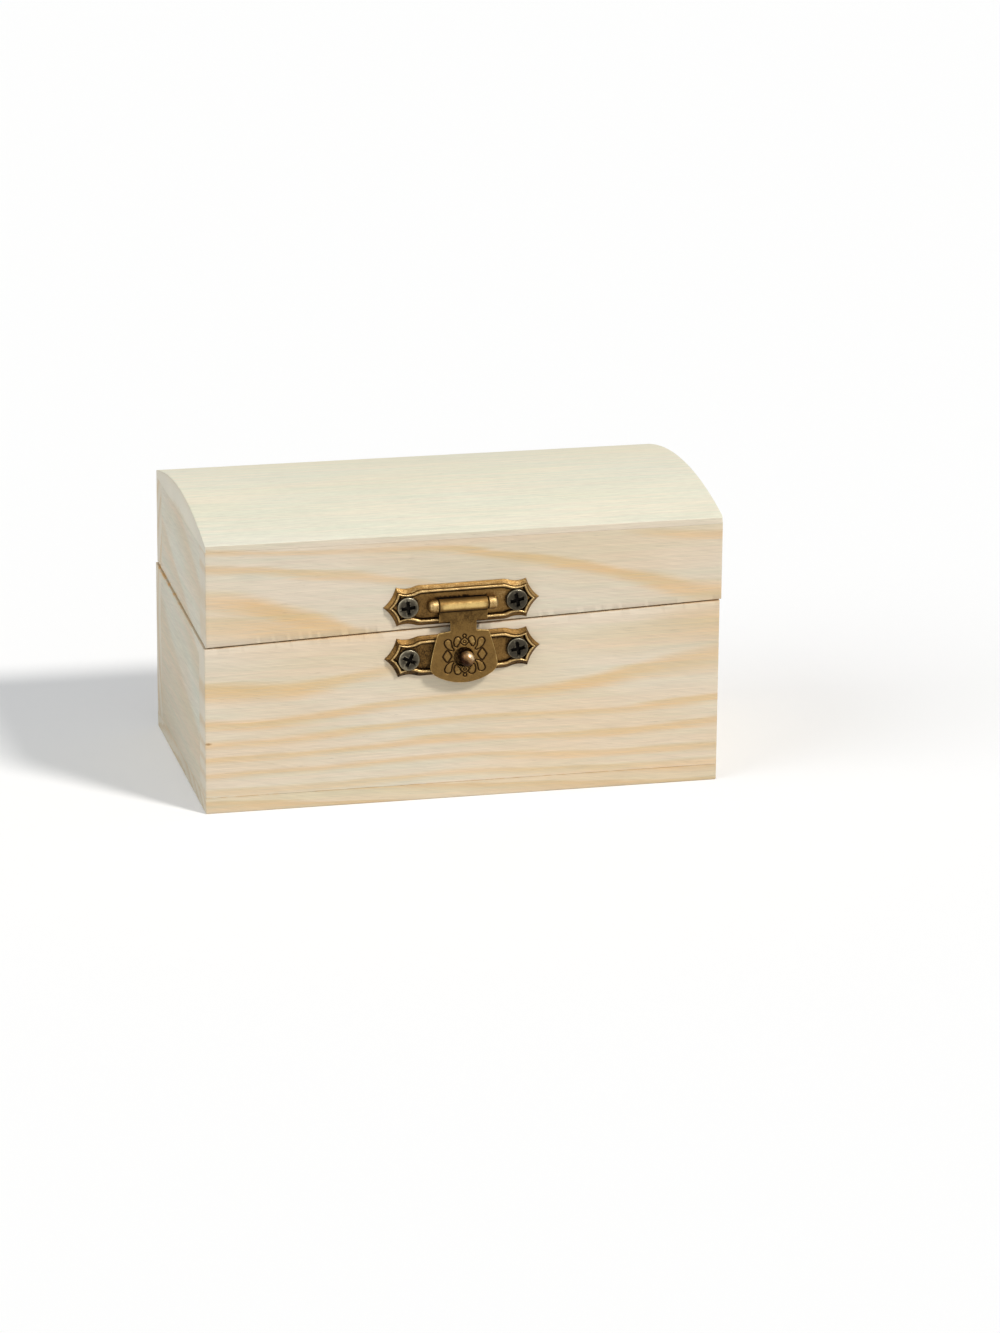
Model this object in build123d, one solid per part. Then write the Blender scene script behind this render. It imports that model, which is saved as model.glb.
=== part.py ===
from build123d import *
import os
from math import cos, radians, sin

# A small pine chest with a shallow domed lid, two butt hinges and a stamped brass hasp.
# All lengths are in millimetres. X runs along the front from left to right, Y from front
# to back and Z up. The origin is the middle of the underside, where the box stands.

# Wooden case
case_width = 95.0
case_depth = 52.4
wall_height = 50.0
dome_rise = 3.4
wall_thickness = 5.6
floor_thickness = 3.0
dome_edge_thickness = 1.2
corner_bevel = 0.3

# Saw cut that parts the lid from the base; the lid's walls are this high at the middle
lid_wall_height = 15.4
seam_gap = 0.25
seam_slope_right = 0.036
seam_slope_back = 0.024
lid_shift = 0.3

# Hasp pin, the two loops that hold it and the curl of the tongue that turns on it
pin_radius = 0.65
running_clearance = 0.06
sheet_thickness = 0.5
curl_wood_gap = 0.24
curl_half_length = 4.45
curl_side_gap = 0.15
loop_length = 1.9
loop_end_bevel = 0.5
loop_floor = 0.4
window_gap = 0.35
curl_slit = 0.12

# Wood screws of the hasp plates; cross recesses and threads are left to the finish
screw_head_radius = 1.95
screw_head_height = 0.95
screw_shank_radius = 0.95
screw_tip_cover = 1.2
pilot_clearance = 0.04
catch_left_screw_drop = 0.25

# Stamped plates of the hasp: foot against the wood, sloping skirt, raised rim, sunk panel
loop_screw_gap = 1.55
plate_end_length = 4.35
panel_margin = 0.89
rim_width = 0.5
rim_draft = 0.12
rim_height = 0.45
skirt_end_width = 1.0
skirt_side_width = 0.8
skirt_wall = 0.6
hollow_depth = 0.25
panel_thickness = 0.4
screw_hole_clearance = 0.3
head_seat_clearance = 0.06

# Outline of the foot and of the rim, from the end point to the straight side
foot_end_shares = [(1, 0), (0.896, 0.432), (0.833, 0.965), (0.711, 0.88)]
foot_shares = foot_end_shares + [(0.613, 0.939), (0.575, 0.981), (0.537, 1)]
rim_end_shares = [(1, 0), (0.922, 0.41), (0.884, 0.922), (0.76, 0.78)]
rim_shares = rim_end_shares + [(0.655, 0.875), (0.614, 0.96), (0.569, 1)]

# Places of the plates on the front
hasp_plate_x = -0.7
hasp_seam_gap = 0.5
hasp_tilt = 1.0
catch_plate_x = -0.5
catch_seam_gap = 1.35
catch_tilt = 2.1

# Tongue
tongue_gap = 0.15
crease_radius = 0.25
shoulder_overhang = 0.1
neck_half_width = 2.4
neck_length = 1.8
fan_top_half_width = 4.65
fan_top_slope = 0.25
fan_half_width = 6.35
fan_side_below_hole = 2.35
fan_foot_below_hole = 4.8
fan_side_bulge = 0.2
fan_corner_radius = 1.5
fan_shoulder_radius = 0.35

# Ball-headed knob, riveted to the catch plate, and the hole of the tongue round it
knob_ball_radius = 1.4
knob_stem_radius = 0.65
knob_ball_proud = 1.0
knob_drop = 0.5
knob_offset_right = 0.35
knob_hole_clearance = 0.45
knob_tail_radius = 1.0
knob_tail_gap = 0.1
rivet_clearance = 0.03

# Butt hinges on the back, with their screws
hinge_width = 14.0
hinge_inset = 19.0
leaf_thickness = 0.7
leaf_end_margin = 1.15
leaf_side_margin = 1.65
fold_gap = 0.2
knuckle_count = 3
knuckle_gap = 0.12
knuckle_wood_gap = 0.1
knuckle_screw_gap = 1.78
hinge_pin_radius = 0.6
hinge_head_radius = 1.15
hinge_head_height = 0.45
hinge_shank_radius = 0.6
hinge_hole_clearance = 0.15
hinge_screw_tip_cover = 1.8

# One overrun serves every cut
overrun = 5.0

# Case, worked out from the sizes above
half_width = case_width / 2
half_depth = case_depth / 2
board_top = wall_height - dome_edge_thickness
seam_height = board_top - lid_wall_height
seam_plane = Plane((0, 0, seam_height), z_dir=(-seam_slope_right, -seam_slope_back, 1))
base_cut = seam_plane.offset(-seam_gap / 2)
lid_cut = seam_plane.offset(seam_gap / 2)

# Hasp: levels are measured out of the wood, drops down from the pin
curl_inner_radius = pin_radius + running_clearance
curl_radius = curl_inner_radius + sheet_thickness
pin_level = curl_radius + curl_wood_gap
panel_level = hollow_depth + panel_thickness
plate_rise = panel_level + rim_height
window_half_length = curl_half_length + curl_side_gap
window_half_height = curl_radius + window_gap
plate_screw_x = window_half_length + loop_length + loop_screw_gap + screw_head_radius
plate_half_length = plate_screw_x + plate_end_length
rim_half_length = plate_half_length - skirt_end_width
rim_half_height = window_half_height + panel_margin + rim_width
plate_half_height = rim_half_height + skirt_side_width
hasp_above_seam = plate_half_height + hasp_seam_gap
catch_below_seam = plate_half_height + catch_seam_gap
tongue_level = plate_rise + tongue_gap
shoulder_drop = rim_half_height + shoulder_overhang
neck_drop = shoulder_drop + neck_length
fan_top_drop = neck_drop + fan_top_slope
knob_hole_drop = hasp_above_seam + catch_below_seam + knob_drop
fan_side_drop = knob_hole_drop + fan_side_below_hole
fan_drop = knob_hole_drop + fan_foot_below_hole
knob_hole_radius = knob_ball_radius + knob_hole_clearance
knob_ball_level = tongue_level + sheet_thickness + knob_ball_proud

# Hinges
hinge_axis_offset = leaf_thickness + hinge_head_height + fold_gap
knuckle_radius = hinge_axis_offset - knuckle_wood_gap
leaf_edge = knuckle_radius + knuckle_gap
hinge_screw_drop = leaf_edge + knuckle_screw_gap + hinge_head_radius
leaf_height = hinge_screw_drop + hinge_head_radius + leaf_end_margin
hinge_screw_x = hinge_width / 2 - leaf_side_margin - hinge_head_radius


def seam_z(x, y):
    """Height of the saw cut over a point of the floor."""
    return seam_height + seam_slope_right * x + seam_slope_back * y


def front_plane(x, z, tilt):
    """Frame on the front face: X to the right along a tilted plate, Z out of the wood."""
    along = (cos(radians(tilt)), 0, sin(radians(tilt)))
    return Plane((x, -half_depth, z), x_dir=along, z_dir=(0, -1, 0))


hasp_z = seam_z(hasp_plate_x, -half_depth) + hasp_above_seam
hasp_frame = front_plane(hasp_plate_x, hasp_z, hasp_tilt)
catch_z = seam_z(catch_plate_x, -half_depth) - catch_below_seam
catch_frame = front_plane(catch_plate_x, catch_z, catch_tilt)
knob_point = hasp_frame.from_local_coords(Vector(knob_offset_right, -knob_hole_drop, 0))
knob_place = catch_frame.to_local_coords(knob_point)


def hinge_frame(side):
    """Frame on a hinge's pin: X along the pin, Y up, Z away from the back of the box."""
    x = side * (half_width - hinge_inset)
    origin = (x, half_depth + hinge_axis_offset, seam_z(x, half_depth))
    return Plane(origin, x_dir=(-1, 0, -seam_slope_right), z_dir=(0, 1, 0))


def block(low, high):
    """Box between two opposite corners."""
    sizes = [b - a for a, b in zip(low, high)]
    middle = [(a + b) / 2 for a, b in zip(low, high)]
    return Pos(*middle) * Box(*sizes)


def rod(radius, low, high):
    """Cylinder along the local X axis."""
    return Pos((low + high) / 2, 0, 0) * Rot(0, 90, 0) * Cylinder(radius, high - low)


def post(radius, low, high, x=0, y=0):
    """Cylinder along the local Z axis."""
    return Pos(x, y, (low + high) / 2) * Cylinder(radius, high - low)


def cut_all(piece, holes):
    """Piece with a set of holes cut out of it."""
    for hole in holes:
        piece -= hole
    return piece


# Wood screws

def wood_screw(head_radius, head_height, shank_radius, length):
    """Plain screw whose head sits on the local floor."""
    return post(head_radius, 0, head_height) + post(shank_radius, -length, 0)


def plate_screw_length():
    """Length under the head of a hasp plate's screw, which ends inside the board."""
    return wall_thickness - screw_tip_cover + panel_level


def plate_screws(frame, places):
    """The two screws of one hasp plate."""
    screw = wood_screw(screw_head_radius, screw_head_height, screw_shank_radius, plate_screw_length())
    return [frame.location * Pos(x, y, panel_level) * screw for x, y in places]


def plate_pilots(frame, places):
    """Holes for those screws, a little wider than their shanks."""
    radius = screw_shank_radius + pilot_clearance
    depth = plate_screw_length() - panel_level + pilot_clearance
    return [frame.location * post(radius, -depth, overrun, x, y) for x, y in places]


def hinge_screw_length():
    """Length under the head of a hinge screw, which ends inside the board."""
    return wall_thickness - hinge_screw_tip_cover + leaf_thickness


def hinge_screw_places(up):
    """Places of one leaf's screws in the hinge's frame, above or below the pin."""
    return [(side * hinge_screw_x, up * hinge_screw_drop) for side in (-1, 1)]


def hinge_screws(frame, up):
    """The two screws of one hinge leaf."""
    level = leaf_thickness - hinge_axis_offset
    screw = wood_screw(hinge_head_radius, hinge_head_height, hinge_shank_radius, hinge_screw_length())
    return [frame.location * Pos(x, y, level) * screw for x, y in hinge_screw_places(up)]


def hinge_pilots(frame, up):
    """Holes for one leaf's screws in the back board."""
    radius = hinge_shank_radius + pilot_clearance
    depth = hinge_screw_length() - leaf_thickness + pilot_clearance
    low = -hinge_axis_offset - depth
    return [frame.location * post(radius, low, overrun, x, y) for x, y in hinge_screw_places(up)]


# Wooden boards

def ease_corners(board, side):
    """Bevels a board's upright edges on the front, -1, on the back, 1, or on both, 0."""
    upright = board.edges().filter_by(Axis.Z)
    rows = upright.group_by(Axis.Y)
    edges = {-1: rows[0], 1: rows[-1], 0: upright}[side]
    return chamfer(edges, corner_bevel)


def wall_boards(shift):
    """Front, back, left and right board from the floor board to the dome board."""
    inner_width = half_width - wall_thickness
    inner_depth = half_depth - wall_thickness
    front = block((-half_width, -half_depth, floor_thickness), (half_width, -inner_depth, board_top))
    back = block((-half_width, inner_depth, floor_thickness), (half_width, half_depth, board_top))
    left = block((-half_width, -inner_depth, floor_thickness), (-inner_width, inner_depth, board_top))
    right = block((inner_width, -inner_depth, floor_thickness), (half_width, inner_depth, board_top))
    front = ease_corners(front, -1)
    back = ease_corners(back, 1)
    boards = {"front": front, "back": back, "left": left, "right": right}
    return {name: Pos(shift, 0, 0) * board for name, board in boards.items()}


def bottom_board():
    """Flat board glued under the four walls."""
    board = block((-half_width, -half_depth, 0), (half_width, half_depth, floor_thickness))
    return ease_corners(board, 0)


def lid_top_board():
    """Board with a flat underside and a milled dome, over the whole lid."""
    crown = (0, 0, wall_height + dome_rise)
    outline = [
        Line((0, -half_depth, board_top), (0, half_depth, board_top)),
        Line((0, half_depth, board_top), (0, half_depth, wall_height)),
        ThreePointArc((0, half_depth, wall_height), crown, (0, -half_depth, wall_height)),
        Line((0, -half_depth, wall_height), (0, -half_depth, board_top)),
    ]
    board = extrude(make_face(outline), half_width, dir=(1, 0, 0), both=True)
    return Pos(lid_shift, 0, 0) * ease_corners(board, 0)


# Stamped hasp plates

def stamped_wire(half_length, half_height, shares, level):
    """Closed outline with a pointed end, two ears and a hollow beside each ear."""
    curves = []
    for number, (right, up) in enumerate(((1, 1), (-1, 1), (-1, -1), (1, -1))):
        run = [(right * a * half_length, up * b * half_height, level) for a, b in shares]
        if number % 2:
            run.reverse()
        curves += [ThreePointArc(*run[start:start + 3]) for start in (0, 2, 4)]
        if number % 2 == 0:
            x, y, z = run[-1]
            curves.append(Line((x, y, z), (-x, y, z)))
    return Wire(curves)


def plain_outline(half_length, half_height, shares):
    """Face with straight edges between the same points, for the hollow back."""
    points = []
    for number, (right, up) in enumerate(((1, 1), (-1, 1), (-1, -1), (1, -1))):
        run = [(right * a * half_length, up * b * half_height) for a, b in shares]
        if number % 2:
            run = run[:0:-1]
        points += run
    return make_face(Polyline(*points, close=True))


def stamped_tray(head_places):
    """Thin pressed plate: sloping skirt, raised rim, sunk panel, hollow back, screw holes."""
    foot = stamped_wire(plate_half_length, plate_half_height, foot_shares, 0)
    rim = stamped_wire(rim_half_length, rim_half_height, rim_shares, plate_rise)
    tray = Solid.make_loft([foot, rim], ruled=True)
    inset = rim_width + rim_draft
    bed = stamped_wire(rim_half_length - inset, rim_half_height - inset, rim_shares, panel_level)
    inset = rim_width - rim_draft
    mouth_level = plate_rise + rim_height
    mouth = stamped_wire(rim_half_length - inset, rim_half_height - inset, rim_shares, mouth_level)
    tray -= Solid.make_loft([bed, mouth], ruled=True)
    inset = 2 * skirt_wall
    hollow = plain_outline(plate_half_length - inset, plate_half_height - inset, foot_shares)
    tray -= extrude(hollow, hollow_depth, dir=(0, 0, 1))
    for x, y in head_places:
        tray -= post(screw_head_radius + head_seat_clearance, panel_level, overrun, x, y)
    for x, y in plate_hole_places():
        tray -= post(screw_shank_radius + screw_hole_clearance, -overrun, overrun, x, y)
    return tray


def plate_hole_places():
    """Screw holes of a hasp plate, on its middle line."""
    return [(side * plate_screw_x, 0) for side in (-1, 1)]


def catch_screw_places():
    """Screws of the catch plate; the left one sits a little low in its hole."""
    left, right = plate_hole_places()
    return [(left[0], left[1] - catch_left_screw_drop), right]


def pin_loop(side):
    """Loop raised from the hasp plate round one end of the pin, with a closed end."""
    loop = rod(curl_radius, window_half_length, window_half_length + loop_length)
    loop = chamfer(loop.edges().group_by(Axis.X)[-1], loop_end_bevel)
    loop = Pos(0, 0, pin_level) * loop
    loop = split(loop, Plane.XY.offset(hollow_depth), keep=Keep.TOP)
    return loop if side > 0 else mirror(loop, Plane.YZ)


def loop_bore_reach():
    """How far the pin's blind bores run to each side."""
    return window_half_length + loop_length - loop_floor


def hasp_plate():
    """Upper plate: tray with a window for the curl and a pin loop at each side of it."""
    plate = stamped_tray(plate_hole_places())
    corner = (window_half_length, window_half_height, overrun)
    plate -= block([-size for size in corner], corner)
    for side in (-1, 1):
        plate += pin_loop(side)
    reach = loop_bore_reach()
    plate -= Pos(0, 0, pin_level) * rod(curl_inner_radius, -reach, reach)
    return hasp_frame.location * plate


def hasp_pin():
    """Pin held at both ends in the loops of the hasp plate."""
    reach = loop_bore_reach() - running_clearance
    return hasp_frame.location * Pos(0, 0, pin_level) * rod(pin_radius, -reach, reach)


def catch_plate():
    """Lower plate: the same tray with a rivet hole for the knob."""
    plate = stamped_tray(catch_screw_places())
    rivet_hole = knob_stem_radius + rivet_clearance
    plate -= post(rivet_hole, -overrun, overrun, knob_place.X, knob_place.Y)
    return catch_frame.location * plate


def catch_knob():
    """Turned knob: a ball on a stem, riveted over behind the panel."""
    knob = post(knob_stem_radius, knob_tail_gap, knob_ball_level)
    knob += post(knob_tail_radius, knob_tail_gap, hollow_depth)
    knob += Pos(0, 0, knob_ball_level) * Sphere(knob_ball_radius)
    return catch_frame.location * Pos(knob_place.X, knob_place.Y, 0) * knob


# Hasp tongue

def tongue_section():
    """Side view of the bent sheet: a curl round the pin, a crease and a flat blade."""
    middle = curl_radius - sheet_thickness / 2
    bend = crease_radius + sheet_thickness / 2
    blade_middle = tongue_level + sheet_thickness / 2
    centre_level = blade_middle + bend
    side = centre_level - pin_level
    down = -(((middle + bend) ** 2 - side ** 2) ** 0.5)
    across = Vector(0, down, side).normalized()
    start_out = Vector(0, 0, pin_level) + across * curl_radius
    start_in = Vector(0, 0, pin_level) + across * curl_inner_radius
    centre = Vector(0, down, centre_level)
    half_way = (Vector(0, 0, -1) - across).normalized()
    crease = centre + half_way * crease_radius
    crease_back = centre + half_way * (crease_radius + sheet_thickness)
    face_level = tongue_level + sheet_thickness
    blade_end = -fan_drop - overrun
    outline = [
        ThreePointArc(start_out, crease, (0, down, face_level)),
        Line((0, down, face_level), (0, blade_end, face_level)),
        Line((0, blade_end, face_level), (0, blade_end, tongue_level)),
        Line((0, blade_end, tongue_level), (0, down, tongue_level)),
        ThreePointArc((0, down, tongue_level), crease_back, start_in),
        Line(start_in, start_out),
    ]
    return make_face(outline)


def tongue_blank():
    """Front view of the tongue: curl and shoulders, neck, and a fan with a round foot."""
    side_x = (fan_top_half_width + fan_half_width) / 2 + fan_side_bulge
    side_y = -(fan_top_drop + fan_side_drop) / 2
    half = [
        (curl_half_length, curl_radius + overrun),
        (curl_half_length, -shoulder_drop),
        (neck_half_width, -shoulder_drop),
        (neck_half_width, -neck_drop),
        (fan_top_half_width, -fan_top_drop),
    ]
    curves = [Line((-half[0][0], half[0][1]), half[0])]
    foot_ends = [(fan_half_width, -fan_side_drop), (-fan_half_width, -fan_side_drop)]
    for right, foot_end in zip((1, -1), foot_ends):
        run = [(right * x, y) for x, y in half]
        curves += [Line(first, second) for first, second in zip(run, run[1:])]
        curves.append(ThreePointArc(run[-1], (right * side_x, side_y), foot_end))
    curves.append(ThreePointArc(foot_ends[0], (0, -fan_drop), foot_ends[1]))
    blank = make_face(curves)
    blank = fillet(blank.vertices().sort_by(Axis.Y)[2:4], fan_shoulder_radius)
    return fillet(blank.vertices().sort_by(Axis.Y)[:2], fan_corner_radius)


def hasp_tongue():
    """Tongue bent from sheet, with the hole that drops over the knob."""
    reach = fan_half_width + overrun
    curl = Pos(0, 0, pin_level) * rod(curl_radius, -curl_half_length, curl_half_length)
    blade = extrude(tongue_section(), reach, dir=(1, 0, 0), both=True)
    blade = blade & extrude(tongue_blank(), pin_level + overrun, dir=(0, 0, 1), both=True)
    tongue = blade + curl
    tongue -= Pos(0, 0, pin_level) * rod(curl_inner_radius, -reach, reach)
    slit_low = -(curl_inner_radius + curl_slit) / 2
    tongue -= block((-reach, slit_low, -overrun), (reach, slit_low + curl_slit, pin_level))
    tongue -= post(knob_hole_radius, -overrun, overrun, 0, -knob_hole_drop)
    return hasp_frame.location * tongue


# Hinges

def knuckle_spans(first):
    """Start and end of every second knuckle along the pin, from the first given."""
    pitch = hinge_width / knuckle_count
    spans = []
    for number in range(first, knuckle_count, 2):
        low = number * pitch - hinge_width / 2 + knuckle_gap / 2
        spans.append((low, low + pitch - knuckle_gap))
    return spans


def hinge_leaf(frame, up, first):
    """Leaf with its knuckles, above the pin for the lid, up=1, or below it, up=-1."""
    back = -hinge_axis_offset
    low, high = sorted((up * leaf_edge, up * leaf_height))
    leaf = block((-hinge_width / 2, low, back), (hinge_width / 2, high, back + leaf_thickness))
    for start, end in knuckle_spans(first):
        tab_low, tab_high = sorted((0, up * leaf_edge))
        leaf += block((start, tab_low, back), (end, tab_high, back + leaf_thickness))
        leaf += rod(knuckle_radius, start, end)
    leaf -= rod(hinge_pin_radius + running_clearance, -hinge_width, hinge_width)
    for x, y in hinge_screw_places(up):
        leaf -= post(hinge_shank_radius + hinge_hole_clearance, -overrun, overrun, x, y)
    return frame.location * leaf


def hinge_pin(frame):
    """Pin through all the knuckles, flush with their ends."""
    return frame.location * rod(hinge_pin_radius, -hinge_width / 2, hinge_width / 2)


# All the pieces, each in its own node

def case_nodes():
    """Boards of the base and of the lid, cut apart by the saw and drilled for the screws."""
    holes = {
        "base_front_board": plate_pilots(catch_frame, catch_screw_places()),
        "lid_front_board": plate_pilots(hasp_frame, plate_hole_places()),
        "base_back_board": [hole for side in (-1, 1) for hole in hinge_pilots(hinge_frame(side), -1)],
        "lid_back_board": [hole for side in (-1, 1) for hole in hinge_pilots(hinge_frame(side), 1)],
    }
    nodes = {"bottom_board": [bottom_board()], "lid_top_board": [lid_top_board()]}
    halves = [("base", 0, base_cut, Keep.BOTTOM), ("lid", lid_shift, lid_cut, Keep.TOP)]
    for part, shift, cut, keep in halves:
        for side, board in wall_boards(shift).items():
            name = f"{part}_{side}_board"
            nodes[name] = [cut_all(split(board, cut, keep=keep), holes.get(name, []))]
    return nodes


def hasp_nodes():
    """The latch: two plates, pin, tongue, knob and their screws."""
    return {
        "hasp_plate": [hasp_plate()],
        "hasp_pin": [hasp_pin()],
        "hasp_tongue": [hasp_tongue()],
        "hasp_plate_screws": plate_screws(hasp_frame, plate_hole_places()),
        "catch_plate": [catch_plate()],
        "catch_knob": [catch_knob()],
        "catch_plate_screws": plate_screws(catch_frame, catch_screw_places()),
    }


def hinge_nodes():
    """The two hinges: base leaf, lid leaf and pin each, and the screws of each body."""
    nodes = {"base_hinge_screws": [], "lid_hinge_screws": []}
    for name, side in (("left", -1), ("right", 1)):
        frame = hinge_frame(side)
        nodes[f"{name}_hinge_base_leaf"] = [hinge_leaf(frame, -1, 0)]
        nodes[f"{name}_hinge_lid_leaf"] = [hinge_leaf(frame, 1, 1)]
        nodes[f"{name}_hinge_pin"] = [hinge_pin(frame)]
        nodes["base_hinge_screws"] += hinge_screws(frame, -1)
        nodes["lid_hinge_screws"] += hinge_screws(frame, 1)
    return nodes


os.makedirs("parts", exist_ok=True)
for name, pieces in {**case_nodes(), **hasp_nodes(), **hinge_nodes()}.items():
    solids = [solid for piece in pieces for solid in piece.solids()]
    whole = solids[0] if len(solids) == 1 else Compound(children=solids)
    export_step(whole, f"parts/{name}.step")
    print(name, len(solids), "solids,", round(sum(solid.volume for solid in solids), 1), "mm3")

# Axes of the two joints
print("hasp pin at", hasp_frame.from_local_coords(Vector(0, 0, pin_level)), "along", hasp_frame.x_dir)
for side in (-1, 1):
    print("lid pin at", hinge_frame(side).origin, "along", hinge_frame(side).x_dir)
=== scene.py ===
from itertools import product
from math import asin, atan2, cos, pi, radians, sin, sqrt

import bmesh
import bpy
import numpy as np
from mathutils import Matrix, Vector, noise
from mathutils.geometry import delaunay_2d_cdt
from mathutils.kdtree import KDTree


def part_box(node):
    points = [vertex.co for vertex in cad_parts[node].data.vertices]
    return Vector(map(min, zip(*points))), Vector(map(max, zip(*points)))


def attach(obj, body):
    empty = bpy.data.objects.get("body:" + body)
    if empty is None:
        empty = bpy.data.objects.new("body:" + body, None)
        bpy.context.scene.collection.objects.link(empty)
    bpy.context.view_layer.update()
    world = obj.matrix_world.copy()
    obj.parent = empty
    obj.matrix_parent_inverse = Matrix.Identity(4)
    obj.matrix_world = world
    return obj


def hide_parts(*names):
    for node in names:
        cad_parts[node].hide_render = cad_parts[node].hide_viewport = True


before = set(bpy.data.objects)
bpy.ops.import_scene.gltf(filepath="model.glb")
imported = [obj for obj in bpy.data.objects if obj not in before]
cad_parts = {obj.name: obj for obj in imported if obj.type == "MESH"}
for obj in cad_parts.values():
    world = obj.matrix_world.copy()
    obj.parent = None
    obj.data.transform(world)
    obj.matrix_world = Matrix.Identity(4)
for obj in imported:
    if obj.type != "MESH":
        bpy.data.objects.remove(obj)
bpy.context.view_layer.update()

# Small pine treasure chest with a stamped brass hasp. Lengths are in millimetres, in the frame
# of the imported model, and become metres where Blender takes them.
MM = 0.001

# Camera of the photograph: place, line of sight, upward direction, long lens, and how near it sees
camera_place = (-191.3, -863.3, 296.2)
camera_forward = (0.2193, 0.9279, -0.3013)
camera_up = (0.0614, 0.2951, 0.9535)
camera_lens = 135.03
camera_sensor = 36.0
camera_nearest = 10.0

# Studio: name, direction, strength, softness in degrees and colour of each lamp, then the floor
# with the glow that lightens its shadows, and the sky
lamps = (("key", (0.457, -0.525, 0.717), 2.19, 10, (1.0, 0.975, 0.945)),
         ("fill", (-0.78, -0.25, 0.57), 0.87, 45, (0.94, 0.98, 1.0)))
floor_size = 6000.0
floor_colour = (0.86, 0.86, 0.86, 1)
floor_lift = 0.12
sky_colour = (0.96, 0.98, 1.0, 1)
sky_strength = 0.38
white = (1, 1, 1, 1)

# Case: slopes and width of the saw cut, height of the lid's walls, rise of its dome
seam_slope_right = 0.036
seam_slope_back = 0.024
seam_gap = 0.25
lid_wall_height = 15.4
dome_rise = 3.4

# Boards: how far their edges are eased, in which rows, and how fine their meshes are; how deep
# the sawn edges are frayed and the lid's corner is chipped
outer_ease = 0.28
joint_ease = 0.035
seam_ease = 0.06
edge_row_shares = (0, 0.12, 0.35, 0.65, 1)
board_step = 0.55
thickness_step = 0.7
height_step = 1.6
fray_depth = 0.04
chip_depth = 0.3
corner_chip_size = (1.6, 0.8, 0.7)
corner_chip_push = (-0.05, 0.22, -0.16)

# Points of a mesh this close together become one
weld_distance = 0.002

# Hasp and its two plates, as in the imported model; the outlines are a quarter, in shares of the
# half length and the half height
sheet = 0.5
pin_level = 1.45
curl_radius = 1.21
curl_half_length = 4.45
panel_level = 0.65
plate_rise = 1.10
plate_half_length = 14.35
plate_half_height = 3.75
rim_half_length = 13.35
rim_half_height = 2.95
window_half_length = 4.6
window_half_height = 1.3
window_corner = 0.3
loop_length = 1.9
foot_shares = [(1, 0), (0.896, 0.432), (0.833, 0.965), (0.711, 0.88), (0.613, 0.939), (0.575, 0.981),
               (0.537, 1)]
rim_shares = [(1, 0), (0.922, 0.41), (0.884, 0.922), (0.76, 0.78), (0.655, 0.875), (0.614, 0.96),
              (0.569, 1)]
hasp_tilt = 1.0
catch_tilt = 2.1
hasp_seats = [(-10.0, 0), (10.0, 0)]
catch_seats = [(-10.0, -0.25), (10.0, 0)]

# Knob: radii of its ball and stem, and how far out the ball's middle is
knob_ball, knob_stem, knob_level = 1.39, 0.65, 2.75

# Screws: radius and height of the head, radius and length of the shank. The side of a head, from
# its crown down, is in shares of its radius and height, with its wear, the recess in shares of
# them too, and the thread in shares of the shank's radius
screw_head_radius = 1.95
hasp_screw = (screw_head_radius, 0.95, 0.95, 5.05)
hinge_screw = (1.15, 0.45, 0.6, 4.5)
head_side = ((0.90, 0.84, 0.7), (0.955, 0.78, 0.95), (0.99, 0.68, 0.8), (1, 0.55, 0.5), (1, 0.04, 0.3),
             (0.98, 0, 0.1))
head_steps = 72
recess_reach, recess_half_width, recess_depth = 0.66, 0.17, 0.55
recess_floor, recess_pit = 0.8, 0.3
thread_pitch, thread_root, thread_steps = 0.85, 0.72, 32


def tone(red, green, blue):
    """Colour as a photograph's 0 to 255 values, turned into the renderer's linear ones."""
    values = [channel / 255 for channel in (red, green, blue)]
    return [v / 12.92 if v <= 0.04045 else ((v + 0.055) / 1.055) ** 2.4 for v in values] + [1.0]


def span(node):
    """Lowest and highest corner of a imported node."""
    low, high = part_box(node)
    return np.array(low) / MM, np.array(high) / MM


def middle_of(node):
    """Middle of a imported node."""
    low, high = span(node)
    return (low + high) / 2


base_low, base_high = span("bottom_board")
floor_top = base_high[2]
seam_height = span("lid_top_board")[0][2] - lid_wall_height
front_y = base_low[1]


# Materials

class Term:
    """Output of a shader node; plain arithmetic on it makes further nodes."""

    def __init__(self, nodes, socket):
        self.nodes, self.socket = nodes, socket

    def __add__(self, other):
        return self.nodes.math("ADD", self, other)

    def __sub__(self, other):
        return self.nodes.math("SUBTRACT", self, other)

    def __rsub__(self, other):
        return self.nodes.math("SUBTRACT", other, self)

    def __mul__(self, other):
        return self.nodes.math("MULTIPLY", self, other)

    def __truediv__(self, other):
        return self.nodes.math("DIVIDE", self, other)

    def __abs__(self):
        return self.nodes.math("ABSOLUTE", self)

    __radd__ = __add__


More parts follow.
